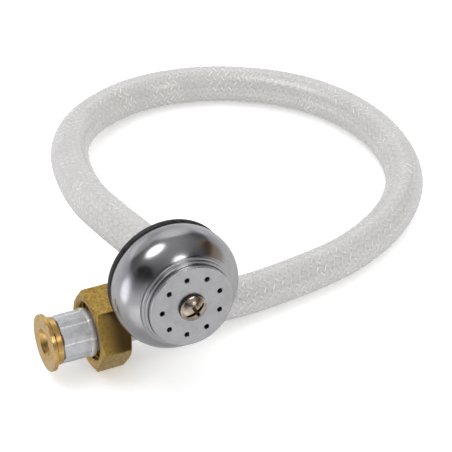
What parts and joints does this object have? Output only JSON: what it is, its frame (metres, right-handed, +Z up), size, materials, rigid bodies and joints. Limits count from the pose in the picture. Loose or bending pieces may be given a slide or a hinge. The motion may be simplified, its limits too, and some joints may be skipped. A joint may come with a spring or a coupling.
{
  "type": "short braided water hose with a perforated spray head and a union nut",
  "caption": "Short braided PVC hose, looped on itself, with a domed perforated chrome spray head at one end and a crimped brass tail with a sliding hexagon union nut at the other.",
  "frame": {"origin": "on the table surface, under the middle of the box around the metal ends (everything but the hose)", "axes": "+Z up; +X from the coupling's open end towards the spray head, along the longest side of the metal ends; +Y towards the far end of the hose loop"},
  "size_m": [0.1689, 0.2286, 0.0706],
  "materials": {
    "chrome": "polished chrome plate",
    "satin_chrome": "satin chrome plate",
    "brass": "turned brass",
    "aged_brass": "tarnished hot-pressed brass",
    "nickel_bronze": "nickel plate worn to the bronze",
    "aluminium": "crimped, lightly scratched",
    "black_rubber": "matt",
    "fibre_washer": "vulcanised fibre, matt",
    "clear_pvc": "clear soft PVC over a white braid",
    "stainless_mesh": "fine mesh and thin sheet"
  },
  "bodies": {
    "hose_assembly": {"face_plate": "satin_chrome", "face_gasket": "black_rubber", "bezel_ring": "chrome", "dome_shell": "chrome", "seal_ring": "black_rubber", "back_plate": "chrome", "stem_washer": "fibre_washer", "inlet_stem": "brass", "inlet_locknut": "brass", "screw_bridge": "brass", "strainer_disc": "stainless_mesh", "screw_washer": "stainless_mesh", "centre_screw": "nickel_bronze", "head_ferrule": "aluminium", "hose_end_head": "clear_pvc", "hose_tail": "brass", "tail_ferrule": "aluminium", "hose_end_tail": "clear_pvc", "hose": "clear_pvc"},
    "nut": {"union_nut": "aged_brass"}
  },
  "joints": [
    {"name": "nut_slide", "type": "slide", "parent": "hose_assembly", "child": "nut", "axis": [-0.8982, -0.4362, 0.0541], "range_m": [0, 0.0264]}
  ]
}
